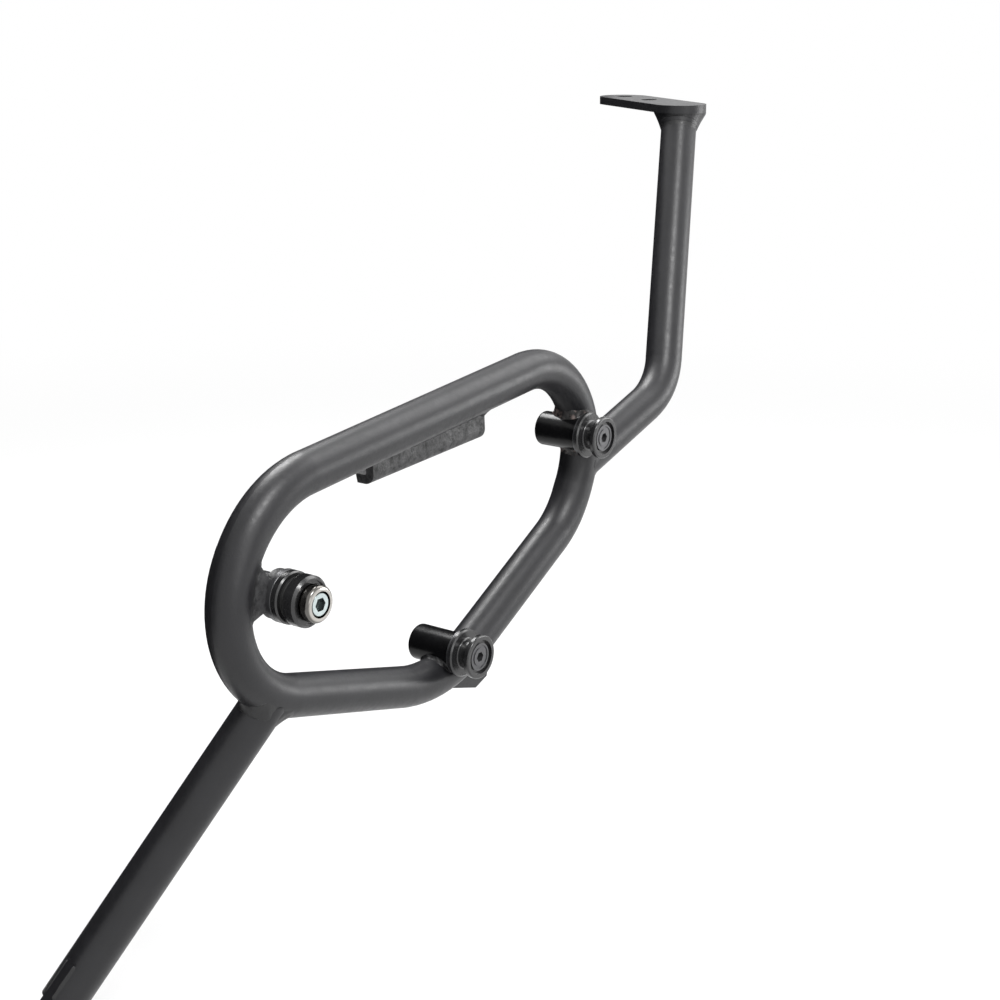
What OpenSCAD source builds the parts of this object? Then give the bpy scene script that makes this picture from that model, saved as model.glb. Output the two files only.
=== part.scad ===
// Side carrier for a soft motorcycle bag: a bent tube loop with three locking pins,
// held by a bracket under its upper bar, a strut at its lower front and a stay at its rear.
// Origin: centre of the bolt hole in the bar bracket. X points to the rear, Z up, and the
// bag hangs on the -Y side. Loop parts are drawn in the loop's plane: x to the rear, y up,
// and z outwards, away from the motorcycle.

/* [Tube] */
// Outer diameter of all tubes
tube_d = 18; // [16:0.5:22]
// Wall of all tubes
tube_wall = 2; // [1.5:0.25:3]

/* [Loop] */
// How far the loop's plane lies outside the bracket's bolt hole
loop_out = 24; // [20:0.5:30]
// Upper front corner of the centre line, rearward
upper_front_x = -101; // [-110:0.5:-95]
// Upper front corner of the centre line, upward
upper_front_z = 8.5; // [4:0.5:14]
// Upper rear corner, rearward
upper_rear_x = 147; // [140:0.5:160]
// Upper rear corner, upward
upper_rear_z = 34; // [30:0.5:40]
// Rear corner below it, rearward
rear_x = 102.5; // [95:0.5:110]
// Rear corner below it, upward
rear_z = -50.5; // [-58:0.5:-45]
// Lower rear corner, rearward
lower_rear_x = 6.5; // [-5:0.5:15]
// Lower rear corner, upward
lower_rear_z = -103.5; // [-115:0.5:-98]
// Lower front corner, rearward
lower_front_x = -144; // [-155:0.5:-138]
// Lower front corner, upward
lower_front_z = -63; // [-70:0.5:-58]
// Bend radius at the upper front corner
upper_front_r = 50; // [35:1:50]
// Bend radius at the upper rear corner
upper_rear_r = 42; // [34:1:42]
// Bend radius at the rear corner
rear_r = 42; // [30:1:45]
// Bend radius at the lower rear corner
lower_rear_r = 66; // [50:1:70]
// Bend radius at the lower front corner
lower_front_r = 43; // [36:1:43]

/* [Bosses] */
// Diameter of the two welded bosses
boss_d = 16; // [15:0.5:18]
// How far a boss reaches inboard of the loop's plane
boss_in = 14; // [11:0.5:18]
// How far a boss stands out past the tube
boss_proud = 0.5; // [0.25:0.25:2]
// Rounding of a boss's inboard edge
boss_round = 1.5; // [0.5:0.25:2]
// Place of the upper boss on the upper rear bend, degrees above level
upper_boss_angle = 13; // [8:0.5:20]
// How far the upper boss lies inside that bend's centre line
upper_boss_inset = 9.2; // [8.5:0.1:11]
// Place of the lower boss on the lower rear bend, degrees above level
lower_boss_angle = -77.5; // [-85:0.5:-70]
// How far the lower boss lies inside that bend's centre line
lower_boss_inset = 10.4; // [8.5:0.1:11]

/* [Screws] */
// Thread diameter of the pins' screws
screw_d = 6; // [5:1:6]
// Depth of thread in a boss
thread_depth = 12; // [8:0.5:14]

/* [Rear pins] */
// Thickness of the washer under each pin
pin_washer_t = 1.1; // [0.8:0.1:1.6]
// Diameter of a pin's base flange
flange_d = 21.2; // [20:0.1:23]
// Thickness of a pin's base flange
flange_t = 2; // [1.5:0.1:3]
// Diameter of a pin's neck
neck_d = 12.8; // [12:0.1:13.5]
// Length of a pin's neck
neck_l = 5.7; // [5:0.1:8]
// Diameter of a pin's head
head_d = 19.4; // [18:0.1:20]
// Thickness of a pin's head
head_t = 2.7; // [2.4:0.1:3.5]
// Depth of the recess in a pin's head
recess_depth = 1.5; // [1.2:0.1:2]
// Diameter of a pin's flat screw head
flat_head_d = 12.2; // [11:0.1:12.4]

/* [Front pin] */
// Place of the front pin on the lower front bend, degrees above level
front_pin_angle = 167.5; // [162:0.5:174]
// How far the front pin lies inside that bend's centre line
front_pin_inset = 22.6; // [21:0.1:25]
// How far the front tab's outer face lies outside the loop's plane
tab_out = 7.5; // [6:0.25:8.5]
// Thickness of the front tab
tab_t = 4; // [3:0.25:5]
// Width of the front tab around the pin
tab_w = 20; // [18:0.5:21]
// Width of the front tab where it leaves its round end
tab_waist = 12; // [11:0.5:15]
// Width of the front tab at the tube's centre line
tab_root = 28; // [22:0.5:30]
// Depth of the weld nut behind the tab
nut_l = 9; // [6:0.5:10]
// Thickness of the front pin's washer
front_washer_t = 2.4; // [1:0.1:3]
// Thickness of the front pin's flange
front_flange_t = 3; // [2:0.1:4]
// Diameter of the rubber ring
ring_d = 17; // [15.5:0.1:19]
// Length of the rubber ring
ring_l = 3.2; // [2.5:0.1:4]
// Diameter of the sleeve in front of the ring
sleeve_d = 20.6; // [19:0.1:22]
// Length of the sleeve
sleeve_l = 5.3; // [3:0.1:6.5]
// Diameter of the steel pin's head
pin_head_d = 15; // [14.6:0.1:16]
// Length of the steel pin's head
pin_head_l = 5; // [4:0.1:8]
// Diameter of the socket screw's head
cap_head_d = 10; // [9.5:0.1:10.4]

/* [Front strut] */
// Place of the strut on the lower front bend, degrees above level
strut_angle = 240; // [232:0.5:250]
// Centre of the strut's bolt hole, rearward
strut_end_x = -186; // [-205:1:-170]
// Centre of the strut's bolt hole, inward
strut_end_y = 28.5; // [15:0.5:40]
// Centre of the strut's bolt hole, upward
strut_end_z = -207; // [-225:1:-190]
// Thickness of the strut's eye plate
eye_t = 5; // [4:0.25:6]
// Width of the strut's eye plate
eye_w = 26; // [23:0.5:30]

/* [Rear stay] */
// Place of the stay on the upper rear bend, degrees above level
stay_angle = -14; // [-18:0.5:-8]
// Corner of the stay's centre line, rearward
stay_bend_x = 180; // [170:1:195]
// Corner of the stay's centre line, outward of the loop's plane
stay_bend_out = 5; // [0:0.5:10]
// Corner of the stay's centre line, upward
stay_bend_z = -0.7; // [-6:0.1:6]
// Bend radius of the stay
stay_r = 38; // [32:1:42]
// Top of the stay's centre line, rearward
stay_top_x = 247.4; // [235:0.2:255]
// Top of the stay's centre line, inward
stay_top_y = 5.4; // [0:0.2:12]
// Underside of the rack plate, above the bracket's bolt hole
stay_top_z = 128.5; // [110:0.5:140]
// Height of the flared collar under the rack plate
collar_h = 9; // [7:0.5:14]
// How far the collar flares out past the tube
collar_flare = 4.5; // [3:0.25:6]

/* [Rack plate] */
// Thickness of the rack plate
rack_t = 4; // [3:0.25:6]
// Width of the rack plate
rack_w = 27; // [26:0.5:34]
// Length from the stay's axis to the outer bolt hole
rack_l = 62; // [50:1:80]
// Spacing of the rack plate's two bolt holes
rack_pitch = 28; // [24:1:36]
// Direction of the rack plate, degrees from the rear towards the motorcycle
rack_angle = 60; // [50:1:70]

/* [Bar bracket] */
// Thickness of the folded bar bracket
bracket_t = 4; // [3:0.25:5]
// Length of the bar bracket ahead of its bolt hole
bracket_front = 33.5; // [30:0.5:44]
// Length of the bar bracket behind its bolt hole
bracket_rear = 42.5; // [34:0.5:46]
// How far its outer face lies inboard of the loop's plane
bracket_in = 1; // [0:0.25:3]
// Outer radius of its fold
bracket_fold_r = 5; // [4.5:0.25:7]
// Rise of its lower edge towards the rear, in degrees
bracket_slope = 3.4; // [0:0.2:6]
// Radius of the bracket around its bolt hole
bracket_end_r = 14; // [11:0.5:16]

/* [Lower lug] */
// Thickness of the lower lug
lug_t = 4; // [3:0.25:5]
// Width of the lower lug
lug_w = 20; // [17:0.5:23]
// Place of the lug on the lower rear bend, degrees above level
lug_angle = -73; // [-80:0.5:-68]
// Reach of the lug's hole from that place
lug_l = 27; // [24:0.5:34]
// How far the lug's middle line lies below that place
lug_drop = 3.7; // [0:0.1:6]
// Direction of the lug, degrees above level
lug_slope = -17; // [-26:0.5:-10]

/* [Holes] */
// Diameter of the bolt holes in the bracket, strut and rack plate
bolt_hole_d = 8.5; // [6.5:0.1:8.5]
// Diameter of the bolt hole in the lower lug
lug_hole_d = 6.5; // [5.5:0.1:8.5]

/* [Hidden] */

$fn = 72;
tube_r = tube_d / 2;
screw_play = 0.3;                     // gap around a screw in a clearance hole
thread_play = 0.05;                   // gap around a screw in a hole that stands for a thread
screw_hole_r = screw_d / 2 + screw_play;
thread_r = screw_d / 2 + thread_play;
hex_fn = 6;
hex_flat = cos(180 / hex_fn);         // a hexagon's width across flats for a width of 1 across corners
slack = 1;                            // shortest straight left between two bends
cut = 1;                              // overshoot of cutting bodies
bend_draw = 0.1;                      // how much thinner a tube is drawn in its bends
lap = 0.5;                            // how far a straight runs on into the bend beside it
cope_gap = 0.1;                       // gap between the loop and a tube end coped to it
powder_black = [0.11, 0.11, 0.12];
gloss_black = [0.06, 0.06, 0.065];
rubber_black = [0.09, 0.09, 0.09];
turned_steel = [0.72, 0.71, 0.69];
zinc = [0.80, 0.84, 0.85];

// Loop corners in its own plane, clockwise from the upper front.
CORNERS = [
  [upper_front_x, upper_front_z],
  [upper_rear_x, upper_rear_z],
  [rear_x, rear_z],
  [lower_rear_x, lower_rear_z],
  [lower_front_x, lower_front_z]
];
WANTED_R = [upper_front_r, upper_rear_r, rear_r, lower_rear_r, lower_front_r];
UPPER_FRONT = 0;
UPPER_REAR = 1;
LOWER_REAR = 3;
LOWER_FRONT = 4;
corner_count = len(CORNERS);

function unit(v) = v / norm(v);
function polar(a) = [cos(a), sin(a)];
function before(i) = (i + corner_count - 1) % corner_count;
function after(i) = (i + 1) % corner_count;
function to_before(i) = unit(CORNERS[before(i)] - CORNERS[i]);
function to_after(i) = unit(CORNERS[after(i)] - CORNERS[i]);
function half_angle(i) = acos(to_before(i) * to_after(i)) / 2;
function side(i) = norm(CORNERS[after(i)] - CORNERS[i]);
// Length of side that a bend uses up, and the share of it that its two sides have room for.
function wanted_run(i) = WANTED_R[i] / tan(half_angle(i));
function room(i) = min(
  1,
  (side(i) - slack) / (wanted_run(i) + wanted_run(after(i))),
  (side(before(i)) - slack) / (wanted_run(i) + wanted_run(before(i)))
);
function bend_r(i) = WANTED_R[i] * room(i);
function run(i) = wanted_run(i) * room(i);
function bend_centre(i) =
  CORNERS[i] + unit(to_before(i) + to_after(i)) * bend_r(i) / sin(half_angle(i));
function bend_in(i) = CORNERS[i] + to_before(i) * run(i);
function bend_out(i) = CORNERS[i] + to_after(i) * run(i);
function heading(v) = atan2(v[1], v[0]);
// Point near a bend's centre line: an angle above level and a distance inside the line.
function on_bend(i, a, inset = 0) = bend_centre(i) + (bend_r(i) - inset) * polar(a);
// From the loop's plane to the part's own frame.
function to_part(p, out = 0) = [p[0], -loop_out - out, p[1]];

UPPER_PIN_AT = on_bend(UPPER_REAR, upper_boss_angle, upper_boss_inset);
LOWER_PIN_AT = on_bend(LOWER_REAR, lower_boss_angle, lower_boss_inset);
FRONT_PIN_AT = on_bend(LOWER_FRONT, front_pin_angle, front_pin_inset);

boss_top = tube_r + boss_proud;
washer_top = boss_top + pin_washer_t;
flange_top = washer_top + flange_t;
neck_top = flange_top + neck_l;
head_top = neck_top + head_t;
recess_floor = head_top - recess_depth;

front_washer_top = tab_out + front_washer_t;
front_flange_top = front_washer_top + front_flange_t;
ring_top = front_flange_top + ring_l;
sleeve_top = ring_top + sleeve_l;
front_top = sleeve_top + pin_head_l;
core_step = 0.4;                      // how far the steel core lies inside the rear pins' neck
core_d = neck_d - 2 * core_step;      // steel core inside the ring and the sleeve

module in_loop_plane() {
  translate([0, -loop_out, 0])
    rotate([90, 0, 0])
      children();
}

module at_pin(p) {
  in_loop_plane()
    translate([p[0], p[1], 0])
      children();
}

// Straight bar between two points of the loop's plane, lapped over the bends beside it.
module straight(a, b, d) {
  start = a - lap * unit(b - a);
  translate([start[0], start[1], 0])
    rotate([0, 90, heading(b - a)])
      cylinder(d = d, h = norm(b - a) + 2 * lap);
}

module bend(i, d) {
  centre = bend_centre(i);
  translate([centre[0], centre[1], 0])
    rotate_extrude(angle = 180 - 2 * half_angle(i), start = heading(bend_out(i) - centre))
      translate([bend_r(i), 0])
        circle(d = d);
}

module loop_bar(d) {
  for (i = [0 : corner_count - 1]) {
    bend(i, d - bend_draw);
    straight(bend_out(i), bend_in(after(i)), d);
  }
}

module loop_body() {
  in_loop_plane()
    loop_bar(tube_d);
}

// Cutter for what is coped to one of the loop's bends.
module cope(i) {
  in_loop_plane()
    bend(i, tube_d + 2 * cope_gap);
}

module boss_blank(p) {
  at_pin(p)
    translate([0, 0, -boss_in])
      cylinder(d = boss_d, h = boss_in + boss_top);
}

module main_loop() {
  color(powder_black)
    difference() {
      loop_body();
      in_loop_plane()
        loop_bar(tube_d - 2 * tube_wall);
      boss_blank(UPPER_PIN_AT);
      boss_blank(LOWER_PIN_AT);
    }
}

// Boss with a rounded inboard edge and a tapped hole from its outer face.
module boss(p) {
  color(gloss_black)
    at_pin(p)
      difference() {
        rotate_extrude()
          difference() {
            translate([0, -boss_in])
              square([boss_d / 2, boss_in + boss_top]);
            translate([boss_d / 2 - boss_round, -boss_in])
              difference() {
                square(boss_round);
                translate([0, boss_round])
                  circle(r = boss_round);
              }
          }
        translate([0, 0, boss_top - thread_depth])
          cylinder(r = thread_r, h = thread_depth + cut);
      }
}

module upper_boss() {
  boss(UPPER_PIN_AT);
}

module lower_boss() {
  boss(LOWER_PIN_AT);
}

// Flat ring on a pin's axis, with a small chamfer on its outer edge.
module ring_plate(p, d, from, to, chamfer, hole_r) {
  at_pin(p)
    rotate_extrude()
      polygon([
        [hole_r, from],
        [d / 2, from],
        [d / 2, to - chamfer],
        [d / 2 - chamfer, to],
        [hole_r, to]
      ]);
}

washer_chamfer = 0.25;
washer_step = 0.5;                    // how far a washer's rim lies inside its flange's
washer_d = flange_d - 2 * washer_step;

module upper_washer() {
  color(powder_black)
    ring_plate(UPPER_PIN_AT, washer_d, boss_top, washer_top, washer_chamfer, screw_hole_r);
}

module lower_washer() {
  color(powder_black)
    ring_plate(LOWER_PIN_AT, washer_d, boss_top, washer_top, washer_chamfer, screw_hole_r);
}

flange_bevel = 0.6;
neck_fillet = 0.8;
head_round = 0.7;
recess_gap = 1.5;                     // width of the recess around the flat screw head

// Spool that a bag's hook grips: flange, neck and recessed head, turned as one piece.
module spool(p) {
  color(gloss_black)
    at_pin(p)
      rotate_extrude()
        difference() {
          union() {
            polygon([
              [0, washer_top],
              [flange_d / 2, washer_top],
              [flange_d / 2, flange_top - flange_bevel],
              [flange_d / 2 - flange_bevel, flange_top],
              [0, flange_top]
            ]);
            square([neck_d / 2, head_top]);
            translate([0, flange_top])
              neck_fillet_profile();
            translate([0, neck_top])
              head_profile();
          }
          square([screw_hole_r, head_top + cut]);
          square([neck_d, washer_top]);
          translate([0, recess_floor])
            square([flat_head_d / 2 + recess_gap, recess_depth + cut]);
        }
}

module neck_fillet_profile() {
  difference() {
    square([neck_d / 2 + neck_fillet, neck_fillet]);
    translate([neck_d / 2 + neck_fillet, neck_fillet])
      circle(r = neck_fillet);
  }
}

// Half section of a pin's head with both outer edges rounded.
module head_profile() {
  square([head_d / 2 - head_round, head_t]);
  translate([0, head_round])
    square([head_d / 2, head_t - 2 * head_round]);
  for (z = [head_round, head_t - head_round])
    translate([head_d / 2 - head_round, z])
      circle(r = head_round);
}

module upper_pin() {
  spool(UPPER_PIN_AT);
}

module lower_pin() {
  spool(LOWER_PIN_AT);
}

flat_head_sink = 0.6;                 // how far the flat head lies below the spool's rim
flat_socket = 4;                      // hexagon key size of the flat head
flat_socket_depth = 2.5;
flat_rim = 0.8;                       // land between the flat head's groove and its edge
flat_groove = 0.35;                   // depth of that groove
thread_end = 2;                       // thread left free below a screw

// Screw with a wide flat head, a hub ring around its socket and a plain shank.
module flat_screw(p) {
  color(gloss_black)
    at_pin(p)
      difference() {
        rotate_extrude()
          flat_screw_profile();
        translate([0, 0, head_top - flat_head_sink - flat_socket_depth])
          cylinder(d = flat_socket / hex_flat, h = flat_socket_depth + cut, $fn = hex_fn);
      }
}

module flat_screw_profile() {
  shank_end = boss_top - thread_depth + thread_end;
  top = head_top - flat_head_sink;
  groove_in = flat_socket;
  groove_out = flat_head_d / 2 - flat_rim;
  difference() {
    union() {
      translate([0, shank_end])
        square([screw_d / 2, top - shank_end]);
      translate([0, recess_floor])
        square([flat_head_d / 2, top - recess_floor]);
    }
    translate([groove_in, top - flat_groove])
      square([groove_out - groove_in, flat_groove + cut]);
  }
}

module upper_screw() {
  flat_screw(UPPER_PIN_AT);
}

module lower_screw() {
  flat_screw(LOWER_PIN_AT);
}

tab_rise = 1.5;                       // how far the tab's middle rises on its way to the tube
tab_knee = 9.5;                       // where the tab's flanks start to spread

// Flat tab from the front bend to the front pin, rounded around the pin and spread at the tube.
module front_tab() {
  near = tab_waist / 2;
  far = tab_root / 2;
  half_way = (front_pin_inset + tab_knee) / 2;
  mid = (near + 2 * far) / 3;
  color(powder_black)
    difference() {
      at_pin(FRONT_PIN_AT)
        translate([0, 0, tab_out - tab_t])
          linear_extrude(tab_t)
            difference() {
              union() {
                circle(d = tab_w);
                rotate(front_pin_angle)
                  polygon([
                    [0, near],
                    [tab_knee, near],
                    [half_way, mid - tab_rise],
                    [front_pin_inset, far - tab_rise],
                    [front_pin_inset, -far - tab_rise],
                    [half_way, -mid - tab_rise],
                    [tab_knee, -near - tab_rise / 2],
                    [0, -near]
                  ]);
              }
              circle(r = screw_hole_r);
            }
      loop_body();
    }
}

nut_step = 0.5;                       // how much smaller the weld nut's radius is than a boss's
nut_d = boss_d - 2 * nut_step;
nut_chamfer = 0.8;

module front_weld_nut() {
  color(powder_black)
    at_pin(FRONT_PIN_AT)
      rotate_extrude()
        polygon([
          [thread_r, tab_out - tab_t],
          [nut_d / 2, tab_out - tab_t],
          [nut_d / 2, tab_out - tab_t - nut_l + nut_chamfer],
          [nut_d / 2 - nut_chamfer, tab_out - tab_t - nut_l],
          [thread_r, tab_out - tab_t - nut_l]
        ]);
}

module front_washer() {
  color(powder_black)
    ring_plate(FRONT_PIN_AT, flange_d, tab_out, front_washer_top, washer_chamfer, screw_hole_r);
}

module front_flange() {
  color(gloss_black)
    ring_plate(FRONT_PIN_AT, flange_d, front_washer_top, front_flange_top, flange_bevel, screw_hole_r);
}

ring_gap = 0.1;                       // sliding fit of ring and sleeve on the steel core
ring_grooves = 2;
ring_groove_r = 0.45;

module front_ring() {
  color(rubber_black)
    at_pin(FRONT_PIN_AT)
      rotate_extrude()
        difference() {
          translate([core_d / 2 + ring_gap, front_flange_top])
            square([(ring_d - core_d) / 2 - ring_gap, ring_l]);
          for (k = [1 : ring_grooves])
            translate([ring_d / 2, front_flange_top + k * ring_l / (ring_grooves + 1)])
              circle(r = ring_groove_r);
        }
}

sleeve_bevel = 1;
sleeve_lip = 1.2;
sleeve_lip_depth = 0.8;

// Black sleeve with a bevelled edge and a shallow ring groove around the steel head.
module front_sleeve() {
  inner = core_d / 2 + ring_gap;
  lip_r = pin_head_d / 2;
  color(gloss_black)
    at_pin(FRONT_PIN_AT)
      rotate_extrude()
        difference() {
          polygon([
            [inner, ring_top],
            [sleeve_d / 2, ring_top],
            [sleeve_d / 2, sleeve_top - sleeve_bevel],
            [sleeve_d / 2 - sleeve_bevel, sleeve_top],
            [inner, sleeve_top]
          ]);
          translate([lip_r, sleeve_top - sleeve_lip_depth])
            square([sleeve_lip, sleeve_lip_depth + cut]);
        }
}

pin_round = 1.6;
cap_gap = 0.3;
cap_head_l = 5.4;

// Turned steel pin: a core through ring and sleeve, and a head with a rounded edge.
module front_pin() {
  color(turned_steel)
    at_pin(FRONT_PIN_AT)
      rotate_extrude()
        difference() {
          union() {
            translate([0, front_flange_top])
              square([core_d / 2, front_top - front_flange_top]);
            translate([0, sleeve_top])
              square([pin_head_d / 2, pin_head_l - pin_round]);
            translate([0, sleeve_top])
              square([pin_head_d / 2 - pin_round, pin_head_l]);
            translate([pin_head_d / 2 - pin_round, front_top - pin_round])
              circle(r = pin_round);
          }
          square([screw_hole_r, front_top + cut]);
          translate([0, front_top - cap_head_l])
            square([cap_head_d / 2 + cap_gap, cap_head_l + cut]);
        }
}

cap_sink = 0.3;
cap_chamfer = 0.6;
cap_socket = 5;                       // hexagon key size of the socket screw
cap_socket_depth = 3;

module front_screw() {
  seat = front_top - cap_head_l;
  top = front_top - cap_sink;
  shank_end = tab_out - tab_t - nut_l + thread_end;
  color(zinc)
    at_pin(FRONT_PIN_AT)
      difference() {
        rotate_extrude()
          polygon([
            [0, shank_end],
            [screw_d / 2, shank_end],
            [screw_d / 2, seat],
            [cap_head_d / 2, seat],
            [cap_head_d / 2, top - cap_chamfer],
            [cap_head_d / 2 - cap_chamfer, top],
            [0, top]
          ]);
        translate([0, 0, top - cap_socket_depth])
          cylinder(d = cap_socket / hex_flat, h = cap_socket_depth + cut, $fn = hex_fn);
      }
}

quarter = 90;

// Moves what is drawn along +Z so that it starts at a and points to b, with x kept level.
module along(a, b) {
  d = b - a;
  translate(a)
    rotate([0, acos(d[2] / norm(d)), atan2(d[1], d[0])])
      rotate(quarter)
        children();
}

STRUT_FROM = to_part(on_bend(LOWER_FRONT, strut_angle));
STRUT_EYE = [strut_end_x, strut_end_y, strut_end_z];
strut_dir = unit(STRUT_EYE - STRUT_FROM);
eye_r = eye_w / 2;
eye_neck = 8;                         // tube end to the rim of the eye
eye_slot = 18;                        // how far the eye plate enters the tube
eye_fit = 0.1;                        // gap of the slot around the eye plate
strut_l = norm(STRUT_EYE - STRUT_FROM) - eye_r - eye_neck;
// Direction in the eye plate across the strut, and the plate's normal, which stays
// as near to the Y axis as the strut's direction allows.
eye_normal = unit([0, 1, 0] - strut_dir[1] * strut_dir);
eye_across = cross(eye_normal, strut_dir);

// Frame at the strut's bolt hole: x across the plate, y along its normal, z to the loop.
module at_eye() {
  multmatrix([
    [-eye_across[0], eye_normal[0], -strut_dir[0], STRUT_EYE[0]],
    [-eye_across[1], eye_normal[1], -strut_dir[1], STRUT_EYE[1]],
    [-eye_across[2], eye_normal[2], -strut_dir[2], STRUT_EYE[2]],
    [0, 0, 0, 1]
  ])
    children();
}

module front_strut() {
  inner_d = tube_d - 2 * tube_wall;
  color(powder_black)
    difference() {
      along(STRUT_FROM, STRUT_EYE)
        difference() {
          cylinder(d = tube_d, h = strut_l);
          translate([0, 0, -cut])
            cylinder(d = inner_d, h = strut_l + 2 * cut);
        }
      cope(LOWER_FRONT);
      at_eye()
        translate([-tube_r - cut, -eye_t / 2 - eye_fit, 0])
          cube([tube_d + 2 * cut, eye_t + 2 * eye_fit, eye_r + eye_neck + eye_slot]);
    }
}

// Eye plate let into the strut's slotted end, with a shoulder behind the round eye.
module strut_eye() {
  tongue_w = tube_d;
  color(powder_black)
    at_eye()
      translate([0, eye_t / 2, 0])
        rotate([90, 0, 0])
          linear_extrude(eye_t)
            difference() {
              union() {
                circle(r = eye_r);
                translate([-tongue_w / 2, 0])
                  square([tongue_w, eye_r + eye_neck + eye_slot]);
              }
              circle(d = bolt_hole_d);
            }
}

STAY_FROM = to_part(on_bend(UPPER_REAR, stay_angle));
STAY_BEND = [stay_bend_x, -loop_out - stay_bend_out, stay_bend_z];
STAY_TOP = [stay_top_x, stay_top_y, stay_top_z];
stay_a = unit(STAY_FROM - STAY_BEND);
stay_b = unit(STAY_TOP - STAY_BEND);
stay_half = acos(stay_a * stay_b) / 2;
stay_run = stay_r / tan(stay_half);
stay_centre = STAY_BEND + unit(stay_a + stay_b) * stay_r / sin(stay_half);
// Frame of the stay's bend: x towards its first straight's end, z across the bend.
stay_x = unit(STAY_BEND + stay_a * stay_run - stay_centre);
stay_z = unit(cross(stay_x, STAY_BEND + stay_b * stay_run - stay_centre));
stay_y = cross(stay_z, stay_x);

module stay_bar(d, extra) {
  along(STAY_FROM, STAY_BEND)
    cylinder(d = d, h = norm(STAY_BEND - STAY_FROM) - stay_run + lap);
  multmatrix([
    [stay_x[0], stay_y[0], stay_z[0], stay_centre[0]],
    [stay_x[1], stay_y[1], stay_z[1], stay_centre[1]],
    [stay_x[2], stay_y[2], stay_z[2], stay_centre[2]],
    [0, 0, 0, 1]
  ])
    rotate_extrude(angle = 180 - 2 * stay_half)
      translate([stay_r, 0])
        circle(d = d - bend_draw);
  along(STAY_BEND + stay_b * (stay_run - lap), STAY_TOP)
    cylinder(d = d, h = norm(STAY_TOP - STAY_BEND) - stay_run + lap + extra);
}

// Everything above the rack plate's underside, around the stay's top.
module above_rack() {
  reach = rack_w * 2;
  translate([stay_top_x - reach, stay_top_y - reach, stay_top_z])
    cube([2 * reach, 2 * reach, reach]);
}

module rear_stay() {
  color(powder_black)
    difference() {
      stay_bar(tube_d, tube_d);
      stay_bar(tube_d - 2 * tube_wall, tube_d + cut);
      cope(UPPER_REAR);
      above_rack();
    }
}

// Flared collar between the stay's top and the rack plate, cut level under the plate.
module stay_collar() {
  lean = acos(stay_b[2]);
  color(powder_black)
    difference() {
      along(STAY_TOP, STAY_TOP + stay_b)
        rotate_extrude()
          collar_profile((tube_r + collar_flare) * tan(lean) + cut);
      above_rack();
    }
}

collar_lip = 0.6;
collar_steps = 6;
collar_sweep = 1.15;                  // how late the collar flares out

// Half section of the collar: a sweep from the tube out to its flare.
module collar_profile(above) {
  polygon([
    [tube_r, above],
    [tube_r, -collar_h],
    for (k = [0 : collar_steps])
      let (share = k / collar_steps)
        [
          tube_r + collar_lip + (collar_flare - collar_lip) * share ^ collar_sweep,
          -collar_h * (1 - share)
        ],
    [tube_r + collar_flare, above]
  ]);
}

module rack_plate() {
  color(powder_black)
    translate([stay_top_x, stay_top_y, stay_top_z])
      rotate(rack_angle)
        linear_extrude(rack_t)
          difference() {
            union() {
              circle(d = rack_w);
              translate([0, -rack_w / 2])
                square([rack_l, rack_w]);
              translate([rack_l, 0])
                circle(d = rack_w);
            }
            for (x = [rack_l - rack_pitch, rack_l])
              translate([x, 0])
                circle(d = bolt_hole_d);
          }
}

bracket_y = -loop_out + bracket_in;

function bar_height(x) =
  let (a = CORNERS[UPPER_FRONT], b = CORNERS[UPPER_REAR])
    a[1] + (x - a[0]) * (b[1] - a[1]) / (b[0] - a[0]);

// Section across the bracket: an upright flange, a fold and a flange with the bolt hole.
module bracket_section() {
  tall = bar_height(bracket_rear) + tube_d;
  wide = bracket_end_r - bracket_y;
  inner_r = bracket_fold_r - bracket_t;
  translate([bracket_y, bracket_fold_r - bracket_t / 2])
    square([bracket_t, tall]);
  translate([bracket_y + bracket_fold_r, -bracket_t / 2])
    square([wide, bracket_t]);
  translate([bracket_y + bracket_fold_r, bracket_fold_r - bracket_t / 2])
    intersection() {
      difference() {
        circle(r = bracket_fold_r);
        circle(r = inner_r);
      }
      translate([-bracket_fold_r, -bracket_fold_r])
        square(bracket_fold_r);
    }
}

ear_angle = 30;                       // where the bracket's flanks meet its round ear
ear_dip = 0.1;                        // how far they run on into it

// Outline of the bracket seen from above: full length at the fold, round at the hole.
module bracket_plan() {
  shoulder = bracket_y + bracket_fold_r + bracket_t;
  ear = (bracket_end_r - ear_dip) * polar(ear_angle);
  difference() {
    union() {
      translate([-bracket_front, bracket_y])
        square([bracket_front + bracket_rear, shoulder - bracket_y]);
      polygon([
        [-bracket_front, shoulder],
        [bracket_rear, shoulder],
        [ear[0], ear[1]],
        [-ear[0], ear[1]]
      ]);
      circle(r = bracket_end_r);
    }
    circle(d = bolt_hole_d);
  }
}

// Folded bracket under the upper bar, which both flanges follow in slope.
module bar_bracket() {
  tall = bar_height(bracket_rear) + tube_d;
  wide = 2 * (loop_out + bracket_end_r);
  color(powder_black)
    difference() {
      intersection() {
        rotate([0, -bracket_slope, 0])
          intersection() {
            translate([-bracket_front, 0, 0])
              rotate([90, 0, 90])
                linear_extrude(bracket_front + bracket_rear)
                  bracket_section();
            translate([0, 0, -tall])
              linear_extrude(2 * tall)
                bracket_plan();
          }
        translate([0, wide / 2, 0])
          rotate([90, 0, 0])
            linear_extrude(wide)
              bracket_silhouette();
      }
      loop_body();
    }
}

// Everything below the upper bar's centre line.
module bracket_silhouette() {
  deep = 2 * bracket_end_r;
  x1 = -2 * bracket_front;
  x2 = 2 * bracket_rear;
  polygon([
    [x1, bar_height(x1)],
    [x1, -deep],
    [x2, -deep],
    [x2, bar_height(x2)]
  ]);
}

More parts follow.
